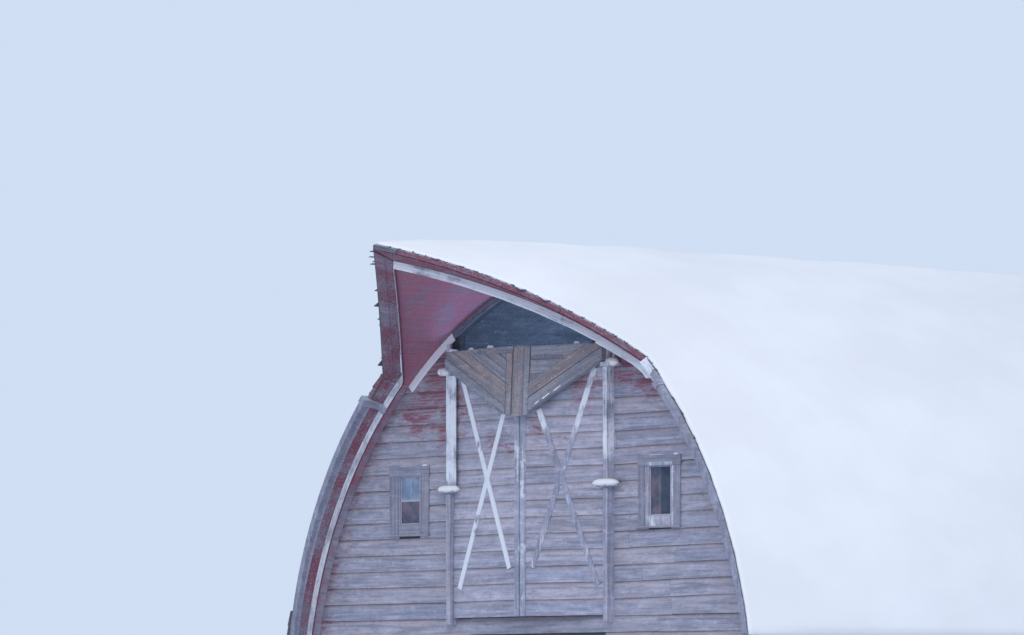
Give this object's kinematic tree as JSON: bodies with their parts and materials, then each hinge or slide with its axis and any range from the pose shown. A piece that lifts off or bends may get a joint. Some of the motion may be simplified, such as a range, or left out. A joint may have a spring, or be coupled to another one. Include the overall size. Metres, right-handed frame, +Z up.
{
  "type": "arched-roof barn",
  "caption": "Gothic arched-roof barn with a pointed hay hood, crossed hay doors, a folded flap and shiplap walls on a concrete floor.",
  "frame": {"origin": "on the ground at the centre of the floor, under the ridge", "axes": "+X to the right seen from the front gable, +Y along the ridge towards the back, +Z up"},
  "size_m": [9.5322, 21.718, 7.935],
  "materials": {
    "concrete": "weathered cast concrete",
    "siding": "weathered grey shiplap with worn red paint",
    "shingle": "dark weathered wood shingles under snow",
    "red_boards": "dark red painted boards",
    "white_trim": "worn white painted trim",
    "grey_trim": "weathered grey trim boards",
    "bare_wood": "bare brown weathered planks",
    "timber": "rough sawn framing timber",
    "sash": "weathered window sash with dark panes"
  },
  "bodies": {
    "root": {"arch_rib_1": "timber", "arch_rib_2": "timber", "arch_rib_3": "timber", "arch_rib_4": "timber", "arch_rib_5": "timber", "back_ground_door": "siding", "back_wall": "siding", "foundation": "concrete", "front_ground_door": "siding", "front_wall": "siding", "ground_floor": "concrete", "hay_flap": "bare_wood", "left_back_verge": "grey_trim", "left_back_window": "sash", "left_cross_brace": "white_trim", "left_door_track": "grey_trim", "left_frieze_board": "white_trim", "left_front_casing": "grey_trim", "left_front_sash": "sash", "left_girder": "timber", "left_hay_door": "siding", "left_hood_ceiling": "red_boards", "left_hood_fascia": "red_boards", "left_hood_trim": "white_trim", "left_meeting_stile": "white_trim", "left_roof": "shingle", "left_side_windows": "sash", "left_verge_board": "grey_trim", "left_wall": "siding", "mow_floor": "timber", "ridge_cap": "shingle", "right_back_verge": "grey_trim", "right_back_window": "sash", "right_cross_brace": "white_trim", "right_door_track": "grey_trim", "right_frieze_board": "white_trim", "right_front_casing": "grey_trim", "right_front_sash": "sash", "right_girder": "timber", "right_hay_door": "siding", "right_hood_ceiling": "red_boards", "right_hood_fascia": "red_boards", "right_hood_trim": "white_trim", "right_meeting_stile": "white_trim", "right_roof": "shingle", "right_side_windows": "sash", "right_verge_board": "grey_trim", "right_wall": "siding"}
  },
  "joints": []
}
